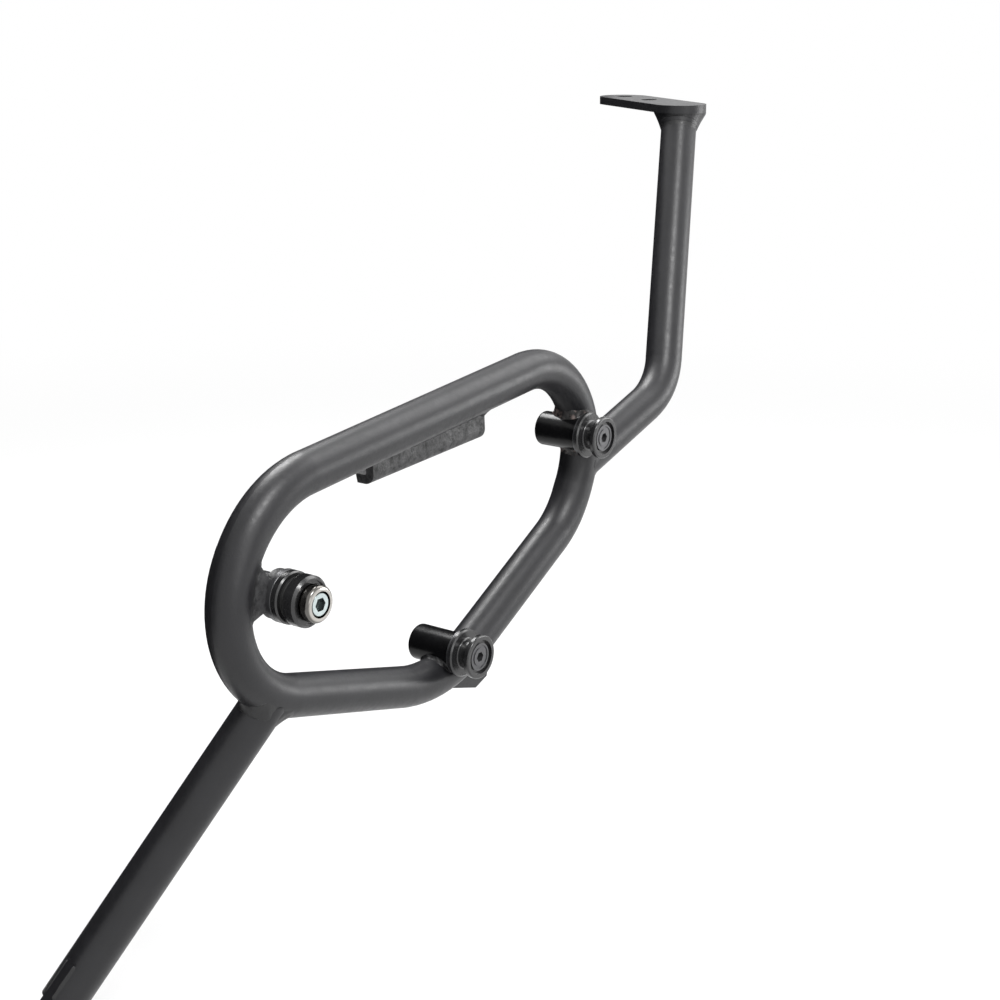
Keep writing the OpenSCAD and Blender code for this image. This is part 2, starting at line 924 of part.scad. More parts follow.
lug_proud = 1;                        // how far the lug stands out past the tube, inboard
lug_end = 9.5;                        // lug left beyond its hole
lug_start = 8;                        // lug left before its place on the bend
lug_cut_l = 7;                        // length of its cut corners
lug_cut_w = 5.5;                      // width of its cut corners

// Lug with cut corners on the inboard side of the lower rear bend, with a bolt hole.
module lower_lug() {
  base = on_bend(LOWER_REAR, lug_angle);
  tip = lug_l + lug_end;
  side = lug_w / 2;
  color(powder_black)
    difference() {
      in_loop_plane()
        translate([base[0], base[1], -tube_r - lug_proud])
          rotate(lug_slope)
            translate([0, -lug_drop])
              linear_extrude(lug_t)
                difference() {
                  polygon([
                    [-lug_start, side - lug_cut_w],
                    [lug_cut_l - lug_start, side],
                    [tip - lug_cut_l, side],
                    [tip, side - lug_cut_w],
                    [tip, lug_cut_w - side],
                    [tip - lug_cut_l, -side],
                    [lug_cut_l - lug_start, -side],
                    [-lug_start, lug_cut_w - side]
                  ]);
                  translate([lug_l, 0])
                    circle(d = lug_hole_d);
                }
      loop_body();
      boss_blank(LOWER_PIN_AT);
    }
}

main_loop();
front_strut();
strut_eye();
rear_stay();
stay_collar();
rack_plate();
bar_bracket();
lower_lug();
upper_boss();
lower_boss();
front_tab();
front_weld_nut();
upper_washer();
upper_pin();
upper_screw();
lower_washer();
lower_pin();
lower_screw();
front_washer();
front_flange();
front_ring();
front_sleeve();
front_pin();
front_screw();
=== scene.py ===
import math
import random

import bmesh
import bpy
from mathutils import Matrix, Vector, noise


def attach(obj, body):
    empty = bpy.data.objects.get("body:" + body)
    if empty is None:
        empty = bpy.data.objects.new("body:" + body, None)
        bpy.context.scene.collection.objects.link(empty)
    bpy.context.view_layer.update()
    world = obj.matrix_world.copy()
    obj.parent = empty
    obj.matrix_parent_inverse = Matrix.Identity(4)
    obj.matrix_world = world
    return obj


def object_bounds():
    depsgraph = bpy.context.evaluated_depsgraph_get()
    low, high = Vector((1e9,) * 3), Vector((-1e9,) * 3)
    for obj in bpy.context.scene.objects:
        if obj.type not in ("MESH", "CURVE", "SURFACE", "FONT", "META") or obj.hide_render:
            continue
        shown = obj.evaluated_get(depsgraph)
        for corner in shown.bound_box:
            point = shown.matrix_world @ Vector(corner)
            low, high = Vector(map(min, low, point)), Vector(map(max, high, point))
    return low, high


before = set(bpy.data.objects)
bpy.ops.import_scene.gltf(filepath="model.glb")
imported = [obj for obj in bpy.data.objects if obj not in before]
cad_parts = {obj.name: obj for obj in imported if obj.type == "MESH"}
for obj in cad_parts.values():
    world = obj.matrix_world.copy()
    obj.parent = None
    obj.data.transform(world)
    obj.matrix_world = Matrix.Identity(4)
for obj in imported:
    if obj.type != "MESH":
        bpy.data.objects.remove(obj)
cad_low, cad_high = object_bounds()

# ------------------------------------------------------------------ sizes, in metres
MM = 0.001
REARWARD, INBOARD, UPWARD = Vector((1, 0, 0)), Vector((0, 1, 0)), Vector((0, 0, 1))
TUBE_R = 9 * MM
LOOP_Y = -24 * MM
# Bends of the loop in its own plane: centre to the rear, centre upward, radius.
UPPER_FRONT = (-71.03 * MM, -38.68 * MM, 50 * MM)
UPPER_REAR = (73.31 * MM, -15.80 * MM, 42 * MM)
REAR = (71.20 * MM, -19.81 * MM, 42 * MM)
LOWER_REAR = (-2.08 * MM, -32.84 * MM, 66 * MM)
LOWER_FRONT = (-77.76 * MM, -36.30 * MM, 43 * MM)
LONG_STRAIGHTS = ((UPPER_FRONT, UPPER_REAR), (REAR, LOWER_REAR), (LOWER_REAR, LOWER_FRONT))
# Centre line of the upper bar, from its front end to its rear end.
BAR_FROM = Vector((-76.14, -24, 11.06)) * MM
BAR_TO = Vector((69.01, -24, 25.98)) * MM
# The pins' axes, in the loop's plane.
UPPER_PIN = (105.266 * MM, -8.420 * MM)
LOWER_PIN = (9.958 * MM, -87.126 * MM)
FRONT_PIN = (-97.679 * MM, -31.880 * MM)
BOSS_R = 8 * MM
NUT_R = 7.5 * MM
SOCKET_R = 2.5 * MM
# The tab: its direction, the pin's distance from the bend's centre line, and the heights of its
# two faces outwards from the loop's plane.
TAB_WAY = math.radians(167.5)
FRONT_INSET = 22.6 * MM
TAB_BACK, TAB_FRONT = 3.5 * MM, 7.5 * MM
# Half widths of the tab above and below its middle, each at its distance from the pin's axis.
TAB_UPPER = ((9.5 * MM, 6.75 * MM), (16.05 * MM, 12.83 * MM), (22.6 * MM, 15.5 * MM))
TAB_LOWER = ((9.5 * MM, 6.0 * MM), (16.05 * MM, 9.83 * MM), (22.6 * MM, 12.5 * MM))
TAB_ROUND = 0.8 * MM
STRUT_FROM = Vector((-99.26, -24, -73.53)) * MM
STRUT_EYE = Vector((-186, 28.5, -207)) * MM
EYE_NORMAL = Vector((.170685, .949678, .262639))
EYE_HALF_THICK, EYE_HALF_WIDE = 2.5 * MM, 20 * MM
SLOT_FROM, SLOT_TO = 23 * MM, 38.5 * MM
STAY_FROM = Vector((114.06, -24, -25.96)) * MM
STAY_BEND = Vector((180, -29, -0.7)) * MM
STAY_TOP = Vector((247.4, 5.4, 128.5)) * MM
COLLAR_H, COLLAR_LIP, COLLAR_FLARE = 9 * MM, 0.6 * MM, 4.5 * MM
# Ends of the bracket's upright flange, along X and along Y.
BRACKET_X = (-33.4 * MM, 42.1 * MM)
BRACKET_Y = (-23 * MM, -19 * MM)
# The lug: its outer face, inwards from the loop's plane, its half thickness, and where its weld
# starts and how far it runs round the bend, in degrees.
LUG_FACE, LUG_HALF = 6 * MM, 2 * MM
LUG_FROM, LUG_SWEEP = -82.0, 18.0
# Longer than any plate, where a weld reaches only one of its edges.
NO_END = 0.2


def plane_point(x, z, out):
    """A point given in the loop's plane and by its height outwards from that plane."""
    return Vector((x, LOOP_Y - out, z))


def ease(share):
    """A share from 0 to 1, slowed at both ends."""
    return share * share * (3 - 2 * share)


def clamp(value):
    """The value, kept between 0 and 1."""
    return min(max(value, 0), 1)


# ------------------------------------------------------------------ materials
MIX_A, MIX_B, MIX_RESULT = 6, 7, 2      # colour sockets of the mix node


class Tree:
    """Small helper that lays shader nodes and links them."""

    def __init__(self, tree):
        self.tree = tree

    def add(self, kind, **values):
        """A new node with these settings."""
        node = self.tree.nodes.new(kind)
        for key, value in values.items():
            setattr(node, key, value)
        return node

    def link(self, a, b):
        self.tree.links.new(a, b)

    def spread(self, value, low, high, to_low, to_high, how="LINEAR"):
        """A value's range laid over another range."""
        node = self.add("ShaderNodeMapRange", interpolation_type=how)
        ends = {"From Min": low, "From Max": high, "To Min": to_low, "To Max": to_high}
        for name, end in ends.items():
            node.inputs[name].default_value = end
        self.link(value, node.inputs["Value"])
        return node.outputs["Result"]

    def math(self, how, a, b=0):
        node = self.add("ShaderNodeMath", operation=how)
        for i, v in enumerate((a, b)):
            if isinstance(v, (int, float)):
                node.inputs[i].default_value = v
            else:
                self.link(v, node.inputs[i])
        return node.outputs[0]

    def vector(self, how, a, b=(0, 0, 0)):
        node = self.add("ShaderNodeVectorMath", operation=how)
        self.link(a, node.inputs[0])
        node.inputs[1].default_value = b
        return node.outputs["Value" if how == "LENGTH" else "Vector"]

    def split(self, vector):
        node = self.add("ShaderNodeSeparateXYZ")
        self.link(vector, node.inputs[0])
        return node.outputs

    def seen(self):
        """1 for camera, glossy and transmission rays, which see the white background."""
        path = self.add("ShaderNodeLightPath")
        value = path.outputs["Is Camera Ray"]
        for ray in ("Is Glossy Ray", "Is Transmission Ray"):
            value = self.math("MAXIMUM", value, path.outputs[ray])
        return value


class Coat(Tree):
    """A material of the part. Its noise scales are per metre."""

    def __init__(self, name, base, rough, metallic=0.0, specular=0.5):
        self.mat = bpy.data.materials.new(name)
        self.mat.use_nodes = True
        super().__init__(self.mat.node_tree)
        self.base = base
        self.sockets = self.tree.nodes["Principled BSDF"].inputs
        self.sockets["Base Color"].default_value = (*base, 1)
        self.sockets["Roughness"].default_value = rough
        self.sockets["Metallic"].default_value = metallic
        self.sockets["Specular IOR Level"].default_value = specular
        self.where = self.add("ShaderNodeTexCoord").outputs["Object"]

    def noise(self, scale, detail, rough=0.5):
        node = self.add("ShaderNodeTexNoise")
        for name, value in {"Scale": scale, "Detail": detail, "Roughness": rough}.items():
            node.inputs[name].default_value = value
        self.link(self.where, node.inputs["Vector"])
        return node.outputs["Fac"]

    def cloud(self, scale, detail, rough=0.5, part=(0.3, 0.7), to=(0, 1)):
        """Noise, of which a part of the range is spread over another range."""
        return self.spread(self.noise(scale, detail, rough), *part, *to)

    def colours(self, share, a, b):
        """The base colour between two colours."""
        node = self.add("ShaderNodeMix", data_type="RGBA")
        node.inputs[MIX_A].default_value = (*a, 1)
        node.inputs[MIX_B].default_value = (*b, 1)
        self.link(share, node.inputs["Factor"])
        self.link(node.outputs[MIX_RESULT], self.sockets["Base Color"])

    def tones(self, share, dark, light):
        """The base colour between a darker and a lighter tone."""
        self.colours(share, [c * dark for c in self.base], [min(c * light, 1) for c in self.base])

    def roughness(self, value):
        self.link(value, self.sockets["Roughness"])

    def bump(self, height, strength, distance, before=None):
        node = self.add("ShaderNodeBump")
        node.inputs["Strength"].default_value = strength
        node.inputs["Distance"].default_value = distance
        self.link(height, node.inputs["Height"])
        if before:
            self.link(before, node.inputs["Normal"])
        self.link(node.outputs["Normal"], self.sockets["Normal"])
        return node.outputs["Normal"]

    def faces_out(self, low, high):
        """1 on faces that look along the pins' axes, 0 on their sides, which turned() darkens as
        a painted reflection.
        """
        normal = self.split(self.add("ShaderNodeNewGeometry").outputs["Normal"])
        return self.spread(self.math("ABSOLUTE", normal["Y"]), low, high, 0, 1)

    def ring_radius(self, pin):
        """Distance from a pin's axis, which runs along Y."""
        off = self.vector("SUBTRACT", self.where, (pin[0], 0, pin[1]))
        return self.vector("LENGTH", self.vector("MULTIPLY", off, (1, 0, 1)))

    def turning(self, pin, pitch):
        """Fine turning lines on the faces and the sides of what is turned on a pin's axis."""
        line = self.math("SUBTRACT", self.ring_radius(pin), self.split(self.where)["Y"])
        return self.math("SINE", self.math("MULTIPLY", line, 2 * math.pi / pitch))


def powder_coat(name, base=(0.016, 0.016, 0.018), grain=1.0, rough=(0.35, 0.45), specular=0.46):
    """Satin coat with faint clouds, orange peel and a fine grain."""
    n = Coat(name, base, sum(rough) / 2, specular=specular)
    n.tones(n.cloud(scale=60, detail=3), dark=0.86, light=1.16)
    n.roughness(n.cloud(scale=420, detail=3, to=rough))
    peel = n.bump(n.noise(scale=520, detail=2), 0.16 * grain, 0.25 * MM)
    n.bump(n.noise(scale=1500, detail=3, rough=0.6), 0.40 * grain, 0.09 * MM, peel)
    return n.mat


def pitted_coat(name, base=(0.058, 0.058, 0.060), patch=(0.016, 0.016, 0.0165)):
    """Powder coat over rough plate, with dull dark patches and pits."""
    n = Coat(name, base, 0.45)
    patches = n.cloud(scale=270, detail=5, rough=0.7, part=(0.44, 0.68))
    n.colours(patches, base, patch)
    n.link(n.spread(patches, 0, 1, 0.55, 0.2), n.sockets["Specular IOR Level"])
    n.roughness(n.cloud(scale=160, detail=3, part=(0.35, 0.65), to=(0.36, 0.60)))
    pits = n.bump(n.noise(scale=210, detail=4, rough=0.65), 0.9, 0.6 * MM)
    n.bump(n.noise(scale=2200, detail=2), 0.30, 0.08 * MM, pits)
    return n.mat


def speckled_weld(name, base=(0.020, 0.019, 0.019), speck=(0.16, 0.125, 0.115)):
    """Rough weld whose coat is thin on its crests."""
    n = Coat(name, base, 0.4, specular=0.4)
    n.colours(n.cloud(scale=330, detail=3, rough=0.6, part=(0.50, 0.64)), base, speck)
    n.roughness(n.cloud(scale=300, detail=3, part=(0.35, 0.65), to=(0.28, 0.50)))
    n.bump(n.noise(scale=520, detail=4, rough=0.6), 0.5, 0.35 * MM)
    return n.mat


def gloss_coat(name, base=(0.006, 0.006, 0.0065), rough=(0.18, 0.27), specular=0.22):
    """Smooth glossy coat."""
    n = Coat(name, base, sum(rough) / 2, specular=specular)
    n.tones(n.cloud(scale=90, detail=3), dark=0.8, light=1.2)
    n.roughness(n.cloud(scale=500, detail=3, to=rough))
    n.bump(n.noise(scale=900, detail=3), 0.10, 0.1 * MM)
    return n.mat


def turned(name, pin, base, rough, metallic, pitch, lines, specular=0.5, grain=0.04,
           side=None, shade_socket_r=None):
    """Turned metal, bare or black, with fine lines around its axis.

    side is the tone of a painted dark reflection on faces that look off the axis. The socket
    radius, where given, darkens the socket inside it with painted shade.
    """
    n = Coat(name, base, sum(rough) / 2, metallic, specular)
    share = n.cloud(scale=220, detail=3)
    # Painted reflection: faces that look off the axis are darkened as if they mirrored dark
    # surroundings.
    if side:
        share = n.math("MULTIPLY", n.spread(share, 0, 1, 0.85, 1), n.faces_out(0.80, 0.98))
    # Painted shade: the socket is darkened inside its radius, where shade falls in the recess.
    if shade_socket_r:
        socket_shade = n.spread(n.ring_radius(pin), shade_socket_r * 0.9, shade_socket_r, 0.5, 1)
        share = n.math("MULTIPLY", share, socket_shade)
    n.tones(share, dark=side or 0.9, light=1.08)
    n.roughness(n.cloud(scale=500, detail=3, to=rough))
    turning = n.bump(n.turning(pin, pitch), lines, 0.01 * MM)
    n.bump(n.noise(scale=700, detail=2), grain, 0.05 * MM, turning)
    return n.mat


def soft_rubber(name, base=(0.018, 0.018, 0.018)):
    """Dull rubber."""
    n = Coat(name, base, 0.7)
    n.tones(n.noise(scale=300, detail=3), dark=0.8, light=1.2)
    n.roughness(n.cloud(scale=800, detail=2, to=(0.62, 0.8)))
    n.bump(n.noise(scale=1800, detail=3), 0.3, 0.1 * MM)
    return n.mat


POWDER = powder_coat("powder_coat")
WELD = powder_coat("powder_coat_weld", (0.022, 0.022, 0.023), grain=1.8, rough=(0.34, 0.46))
PITTED = pitted_coat("powder_coat_pitted")
SPECKLED = speckled_weld("powder_coat_specks")
GLOSS = gloss_coat("gloss_black")
RUBBER = soft_rubber("rubber")
PIN_OF = {"upper": UPPER_PIN, "lower": LOWER_PIN, "front": FRONT_PIN}
BLACK = {
    k: turned("black_anodised_" + k, pin, (0.018, 0.018, 0.019), rough=(0.20, 0.28), metallic=0,
              pitch=0.35 * MM, lines=0.15, specular=0.7)
    for k, pin in PIN_OF.items()
}
PLATED = {
    k: turned("black_zinc_" + k, pin, (0.115, 0.115, 0.120), rough=(0.28, 0.42), metallic=0.7,
              pitch=0.45 * MM, lines=0.15, specular=0.45, grain=0.3)
    for k, pin in PIN_OF.items()
}
# The steel's and the zinc's off-axis faces get a painted dark reflection; the zinc screw's socket
# gets painted shade.
STEEL = turned("turned_steel", FRONT_PIN, (0.50, 0.48, 0.45), rough=(0.14, 0.22), metallic=1,
               pitch=0.30 * MM, lines=0.12, grain=0.02, side=0.3)
ZINC = turned("zinc", FRONT_PIN, (0.54, 0.61, 0.61), rough=(0.26, 0.38), metallic=1,
              pitch=0.4 * MM, lines=0.12, side=0.2, shade_socket_r=SOCKET_R)

FINISH = {
    "main_loop": POWDER, "front_strut": POWDER, "strut_eye": POWDER, "rear_stay": POWDER,
    "stay_collar": POWDER, "rack_plate": POWDER, "bar_bracket": PITTED, "lower_lug": POWDER,
    "front_tab": PITTED, "front_weld_nut": POWDER, "upper_boss": GLOSS, "lower_boss": GLOSS,
    "upper_washer": PLATED["upper"], "upper_pin": BLACK["upper"], "upper_screw": PLATED["upper"],
    "lower_washer": PLATED["lower"], "lower_pin": BLACK["lower"], "lower_screw": PLATED["lower"],
    "front_washer": PLATED["front"], "front_flange": BLACK["front"], "front_ring": RUBBER,
    "front_sleeve": BLACK["front"], "front_pin": STEEL, "front_screw": ZINC,
}
for name, mat in FINISH.items():
    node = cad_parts[name]
    node.data.materials.clear()
    node.data.materials.append(mat)


# ------------------------------------------------------------------ surfaces to weld
SLOPE_STEP = 0.02 * MM
SETTLE_ROUNDS = 3
HALVINGS = 20


def bend_gap(bend):
    """Distance from the tube's surface at a bend, as a function of the point."""
    cx, cz, radius = bend

    def gap(p):
        return math.hypot(math.hypot(p.x - cx, p.z - cz) - radius, p.y - LOOP_Y) - TUBE_R

    return gap


def rod_gap(start, way, radius):
    """Distance from a straight rod's surface."""
    way = way.normalized()

    def gap(p):
        off = p - start
        return (off - way * off.dot(way)).length - radius

    return gap


def box_gap(u, v, corner):
    """Distance from a rectangle with rounded corners, given the distances from its sides."""
    u, v = u + corner, v + corner
    return math.hypot(max(u, 0), max(v, 0)) + min(max(u, v), 0) - corner


def plate_gap(centre, wide, thick, half_wide, half_thick, corner):
    """Distance from a bar of rectangular section with slightly rounded edges."""
    wide, thick = wide.normalized(), thick.normalized()

    def gap(p):
        off = p - centre
        return box_gap(abs(off.dot(wide)) - half_wide, abs(off.dot(thick)) - half_thick, corner)

    return gap


def slope_of(gap, p):
    """Unit vector away from a surface."""
    steps = [axis * SLOPE_STEP for axis in Matrix.Identity(3)]
    return Vector([gap(p + step) - gap(p - step) for step in steps]).normalized()


def settle(gap, p, depth):
    """The point moved to a depth below a surface."""
    for _ in range(SETTLE_ROUNDS):
        p = p - slope_of(gap, p) * (gap(p) + depth)
    return p


def meet(start, way, gap, reach=60 * MM, step=0.5 * MM):
    """First point at which a line reaches a surface, or None where it misses it."""
    t = 0.0
    while t < reach and gap(start + way * t) > 0:
        t += step
    if t >= reach:
        return None
    low, high = max(t - step, 0.0), t
    for _ in range(HALVINGS):
        mid = (low + high) / 2
        if gap(start + way * mid) > 0:
            low = mid
        else:
            high = mid
    return start + way * high


# ------------------------------------------------------------------ lines to weld along
def circle(centre, e1, e2, radius, count):
    """Points of a circle in the plane of two unit vectors."""
    angles = [2 * math.pi * k / count for k in range(count)]
    return [centre + (e1 * math.cos(a) + e2 * math.sin(a)) * radius for a in angles]


def ring_points(centre, axis, radius, count=90):
    """Points of a circle around an axis."""
    axis = axis.normalized()
    e1 = axis.orthogonal().normalized()
    return circle(centre, e1, axis.cross(e1), radius, count)


def round_trip(corners, counts):
    """Points along the sides of a polygon, with a count of them for each side."""
    for (a, h), (b, g), count in zip(corners, corners[1:] + corners[:1], counts):
        for k in range(count):
            yield a + (b - a) * k / count, h + (g - h) * k / count


def resample(points, closed, pitch):
    """Points at an even pitch along a line."""
    line = points + points[:1] if closed else points
    lengths = [0.0]
    for a, b in zip(line, line[1:]):
        lengths.append(lengths[-1] + (b - a).length)
    count = max(8, round(lengths[-1] / pitch))
    out, k = [], 0
    for i in range(count if closed else count + 1):
        s = lengths[-1] * i / count
        while k < len(line) - 2 and lengths[k + 1] < s:
            k += 1
        span = max(lengths[k + 1] - lengths[k], 1e-9)
        out.append(line[k].lerp(line[k + 1], (s - lengths[k]) / span))
    return out


def smooth(points, rounds):
    """A closed line with its corners softened."""
    for _ in range(rounds):
        n = len(points)
        points = [(points[i - 1] + points[i] * 2 + points[(i + 1) % n]) / 4 for i in range(n)]
    return points


def even(on_tube, on_piece):
    """The same legs all along a weld."""
    return lambda p: (on_tube, on_piece)


def swelling(centre, reach, small, big):
    """Legs that grow from small to big around a place on the seam."""

    def legs(p):
        share = ease(max(0.0, 1 - (p - centre).length / reach))
        return [a + (b - a) * share for a, b in zip(small, big)]

    return legs


# ------------------------------------------------------------------ new pieces
FILLET_PITCH = 0.35 * MM
FILLET_SIDES = 9
FOOT_DEPTH = 0.12 * MM
ROOT_DEPTH = 0.8 * MM
END_RUN = 1.5 * MM
END_SHARE = 0.12                # what is left of a weld at its very end
WOBBLE = 0.16
WOBBLE_RUN = 3 * MM
FINER = 2.7                     # scale and height of the fine lumps beside the coarse ones
FINE_SHARE = 0.5


def add_piece(name, rings, closed, coat, smooth_ends=True):
    """Skins a row of rings, shuts its ends unless it runs round, and adds it to the part."""
    bm = bmesh.new()
    rows = [[bm.verts.new(q) for q in ring] for ring in rings]
    sides = len(rows[0])
    for a, b in zip(rows, rows[1:] + rows[:1] if closed else rows[1:]):
        for k in range(sides):
            j = (k + 1) % sides
            bm.faces.new((a[k], a[j], b[j], b[k]))
    if not closed:
        bm.faces.new(rows[0])
        bm.faces.new(rows[-1][::-1])
    bmesh.ops.recalc_face_normals(bm, faces=bm.faces)
    for f in bm.faces:
        f.smooth = smooth_ends or len(f.verts) == 4
    mesh = bpy.data.meshes.new(name)
    bm.to_mesh(mesh)
    bm.free()
    mesh.materials.append(coat)
    obj = bpy.data.objects.new(name, mesh)
    bpy.context.scene.collection.objects.link(obj)
    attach(obj, "root")


def fillet(name, seam, closed, on_tube, on_piece, legs, seed, belly=0.3, rough=0.16 * MM,
           ripple=1.6 * MM, coat=WELD):
    """A weld in the corner between the tube and a piece, along their seam.

    legs gives, for a point of the seam, how far the weld reaches on the tube and on the piece.
    """
    line = resample(seam, closed, FILLET_PITCH)
    n = len(line)
    shift = random.Random(seed).uniform(0, 100)
    rings = []
    for i, p in enumerate(line):
        n1, n2 = slope_of(on_tube, p), slope_of(on_piece, p)
        dot = n1.dot(n2)
        along_tube = (n2 - n1 * dot).normalized()
        along_piece = (n1 - n2 * dot).normalized()
        out = (n1 + n2).normalized()
        run = min(i, n - 1 - i) * FILLET_PITCH
        end = 1.0 if closed else math.sin(min(END_SHARE + run / END_RUN, 1) * math.pi / 2)
        wobble = 1 + WOBBLE * noise.noise(Vector((i * FILLET_PITCH / WOBBLE_RUN + shift, 0, 0)))
        leg_tube, leg_piece = [leg * end * wobble for leg in legs(p)]
        foot_a = settle(on_tube, p + along_tube * leg_tube, FOOT_DEPTH)
        foot_b = settle(on_piece, p + along_piece * leg_piece, FOOT_DEPTH)
        middle = p.lerp((foot_a + foot_b) / 2, belly)
        ring = []
        for k in range(FILLET_SIDES):
            t = k / (FILLET_SIDES - 1)
            q = foot_a * (1 - t) ** 2 + middle * (2 * t * (1 - t)) + foot_b * t ** 2
            lump = noise.noise(q * (1 / ripple) + Vector((shift, 0, 0)))
            fine = noise.noise(q * (FINER / ripple) + Vector((0, shift, 0)))
            height = rough * math.sin(math.pi * t) * (lump + FINE_SHARE * fine) * end
            ring.append(q + out * height)
        ring.append(p - out * ROOT_DEPTH)
        rings.append(ring)
    add_piece(name, rings, closed, coat)


# Skins of the coat over the places where a bend's tube passes into a long straight one. Each is a
# hair proud of the tube at the joint and sinks into it at both ends.
SKIN_SIDES = 96
SKIN_STEP = 0.5 * MM
SKIN_BEND, SKIN_BAR = 7 * MM, 5 * MM
SKIN_PROUD = 0.006 * MM
SINK_BEND, SINK_BAR = 0.11 * MM, 0.04 * MM
SINK_AFTER = 1 * MM


def tangent(a, b):
    """Outward direction, in the loop's plane, at which a straight joins bend a to bend b."""
    (ax, az, ar), (bx, bz, br) = a, b
    dx, dz = bx - ax, bz - az
    d = math.hypot(dx, dz)
    lean = (ar - br) / d
    rise = math.sqrt(1 - lean * lean)
    return Vector(((dx * lean - dz * rise) / d, 0, (dz * lean + dx * rise) / d))


def skin(name, bend, out, along, sign):
    """One skin, which starts on the bend and ends on the straight that runs along."""
    cx, cz, radius = bend
    centre = Vector((cx, LOOP_Y, cz))
    rings = []
    for i in range(int((SKIN_BEND + SKIN_BAR) / SKIN_STEP) + 1):
        s = i * SKIN_STEP - SKIN_BEND
        if s < 0:
            turn = s / radius * sign
            spoke = out * math.cos(turn) + along * math.sin(turn)
            way = along * math.cos(turn) - out * math.sin(turn)
            at = centre + spoke * radius
            sink = SINK_BEND * max(-s - SINK_AFTER, 0) / (SKIN_BEND - SINK_AFTER)
        else:
            way = along
            at = centre + out * radius + along * (s * sign)
            sink = SINK_BAR * s / SKIN_BAR
        skin_r = TUBE_R + SKIN_PROUD - sink
        rings.append(circle(at, INBOARD, way.cross(INBOARD), skin_r, SKIN_SIDES))
    add_piece(name, rings, False, POWDER, smooth_ends=False)


for k, (a, b) in enumerate(LONG_STRAIGHTS):
    out = tangent(a, b)
    along = Vector((out.z, 0, -out.x))
    skin("coat_%da" % k, a, out, along, 1)
    skin("coat_%db" % k, b, out, along, -1)

# Strut and stay, each coped to a bend. The strut's weld is run on along the bend above it.
CLEAR_OF_BEND = 40 * MM
SWELL_REACH = 15 * MM
REAR_OUTBOARD = Vector((0.6, -0.8, 0))
STRUT_LEGS = ((3.0 * MM, 2.8 * MM), (8.0 * MM, 8.5 * MM))
STAY_LEGS = ((1.6 * MM, 1.5 * MM), (1.6 * MM, 1.5 * MM))
strut_way = (STRUT_EYE - STRUT_FROM).normalized()
stay_way = (STAY_BEND - STAY_FROM).normalized()
for name, start, way, bend, small_big, seed in (
    ("weld_strut", STRUT_FROM, strut_way, LOWER_FRONT, STRUT_LEGS, 1),
    ("weld_stay", STAY_FROM, stay_way, UPPER_REAR, STAY_LEGS, 2),
):
    seam = [
        meet(p, -way, bend_gap(bend))
        for p in ring_points(start + way * CLEAR_OF_BEND, way, TUBE_R)
    ]
    seam = [p for p in seam if p]
    legs = swelling(max(seam, key=REAR_OUTBOARD.dot), SWELL_REACH, *small_big)
    fillet(name, seam, True, bend_gap(bend), rod_gap(start, way, TUBE_R), legs, seed, belly=0.6)

# Neck of the stay's collar, run out smoothly on the stay and under the plate.
NECK_BELOW = 0.5 * MM
top_way = (STAY_TOP - STAY_BEND).normalized()


def collar_gap(p):
    """Distance from the collar's cone, which is near enough to its real sweep."""
    off = p - STAY_TOP
    h = off.dot(top_way)
    flare = (COLLAR_FLARE - COLLAR_LIP) * clamp(1 + h / COLLAR_H)
    return (off - top_way * h).length - TUBE_R - COLLAR_LIP - flare


neck = ring_points(STAY_TOP - top_way * (COLLAR_H - NECK_BELOW), top_way, TUBE_R)
fillet("weld_collar", neck, True, rod_gap(STAY_BEND, top_way, TUBE_R), collar_gap,
       even(3.5 * MM, 1.8 * MM), 12, rough=0.05 * MM)

# Bosses, each set into a bend of the loop.
BOSS_STEPS = range(-60, 61)
BOSS_STEP = 1.8                 # degrees
BEHIND = 20 * MM
for name, pin, bend, legs, coat, seed in (
    ("weld_upper_boss", UPPER_PIN, UPPER_REAR, even(3.8 * MM, 2.4 * MM), SPECKLED, 3),
    ("weld_lower_boss", LOWER_PIN, LOWER_REAR, even(2.2 * MM, 1.5 * MM), WELD, 4),
):
    toward_line = math.atan2(pin[1] - bend[1], pin[0] - bend[0])
    outer, inner = [], []
    for k in BOSS_STEPS:
        a = toward_line + math.radians(k * BOSS_STEP)
        x = pin[0] + math.cos(a) * BOSS_R
        z = pin[1] + math.sin(a) * BOSS_R
        hit = meet(plane_point(x, z, -BEHIND), -INBOARD, bend_gap(bend))
        if hit:
            inner.append(hit)
            outer.append(Vector((hit.x, 2 * LOOP_Y - hit.y, hit.z)))
    fillet(name, outer + inner[::-1], True, bend_gap(bend),
           rod_gap(plane_point(*pin, 0), INBOARD, BOSS_R), legs, seed, belly=0.5, rough=0.5 * MM,
           coat=coat)

# Front tab on its bend, with flanks that spread between its neck and the tube's centre line.
TAB_CORNERS = [(-1, 1), (1, 1), (1, -1), (-1, -1)]
TAB_STEPS = [12] * 4
TAB_CLEAR = 4 * MM
TAB_SOFTEN = 2
tab_way = Vector((math.cos(TAB_WAY), 0, math.sin(TAB_WAY)))
across = Vector((-tab_way.z, 0, tab_way.x))
tab_middle = (TAB_BACK + TAB_FRONT) / 2
tab_half = (TAB_FRONT - TAB_BACK) / 2
tab_at = plane_point(*FRONT_PIN, tab_middle)


def flank(x, widths):
    """Half width of the tab at a distance from the pin's axis, between its corner points."""
    for (x0, w0), (x1, w1) in zip(widths, widths[1:]):
        if x <= x1:
            break
    return w0 + (w1 - w0) * max(0.0, (x - x0) / (x1 - x0))


def tab_gap(p):
    """Distance from the tab, whose edges are slightly rounded."""
    off = p - tab_at
    x, y = off.dot(tab_way), off.dot(across)
    beyond = abs(y) - flank(x, TAB_LOWER if y > 0 else TAB_UPPER)
    return box_gap(beyond, abs(off.y) - tab_half, TAB_ROUND)


